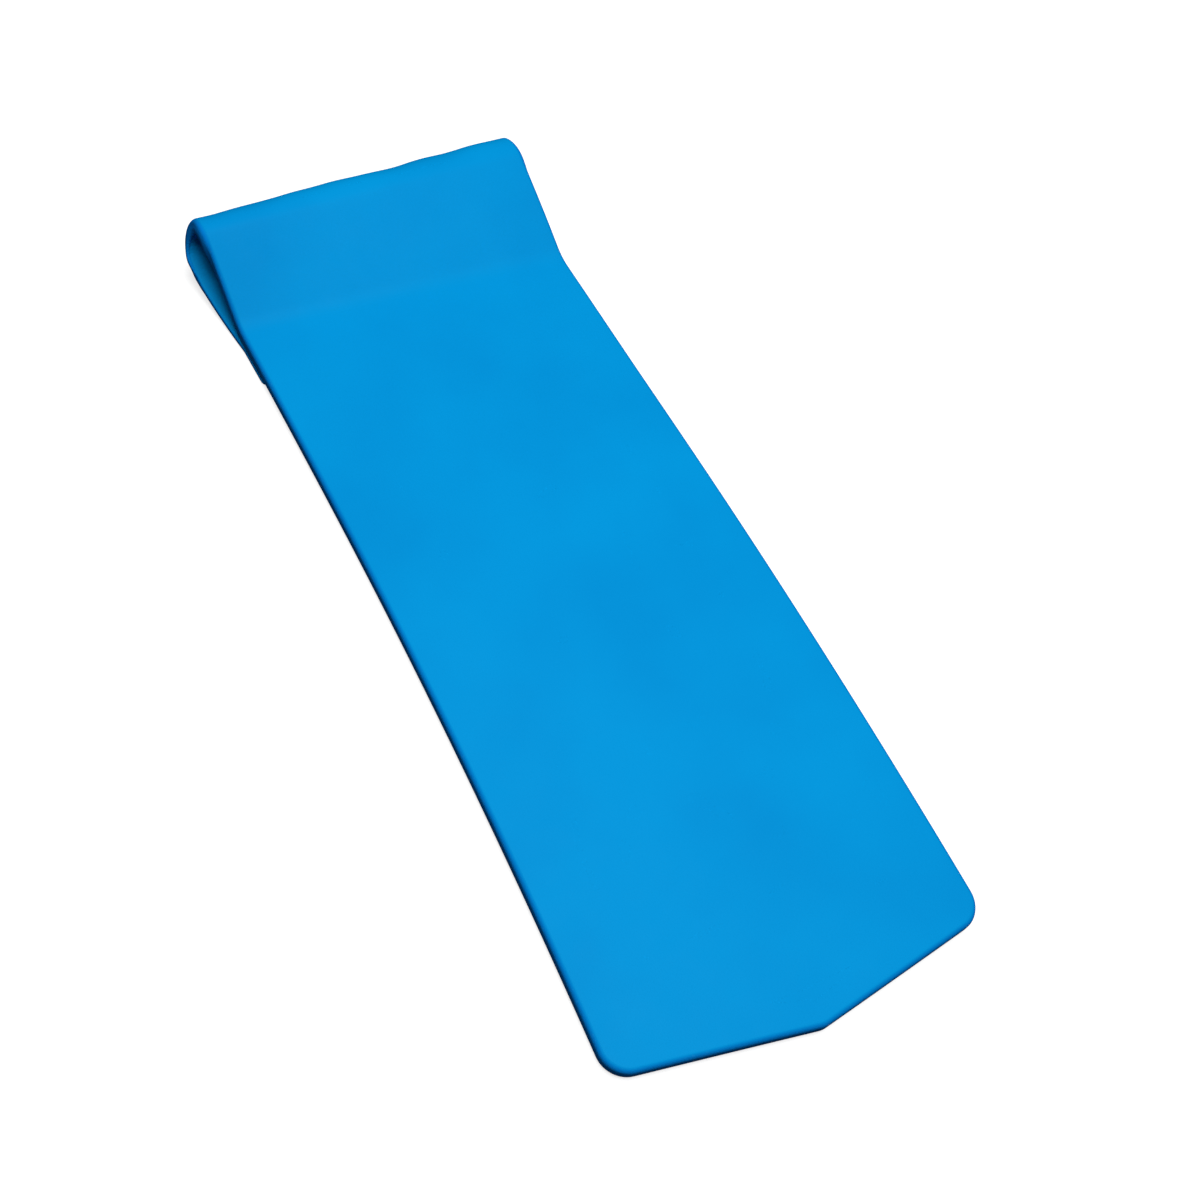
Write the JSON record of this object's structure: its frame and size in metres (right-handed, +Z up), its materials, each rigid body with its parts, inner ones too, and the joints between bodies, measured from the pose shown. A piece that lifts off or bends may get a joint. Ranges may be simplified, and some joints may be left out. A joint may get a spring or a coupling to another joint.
{
  "type": "roll pillow pool mat",
  "caption": "Long flat pool lounger of vinyl-coated foam, with a shallow pointed foot end and a head end curled under and glued into a hollow pillow.",
  "frame": {"origin": "the middle of the mat's length and width, on the plane it lies on", "axes": "+Y runs along the mat from the pointed foot end to the pillow, +X across it, and +Z up"},
  "size_m": [0.685, 1.796, 0.1459],
  "materials": {
    "vinyl_top": "satin",
    "vinyl_underside": "satin",
    "foam_upper": "matte",
    "foam_lower": "matte",
    "scrim": "matte",
    "adhesive": "gloss"
  },
  "bodies": {
    "root": {"top_skin": "vinyl_top", "underside_skin": "vinyl_underside", "upper_foam_ply": "foam_upper", "lower_foam_ply": "foam_lower", "reinforcing_scrim": "scrim", "pillow_glue_bond": "adhesive"}
  },
  "joints": []
}
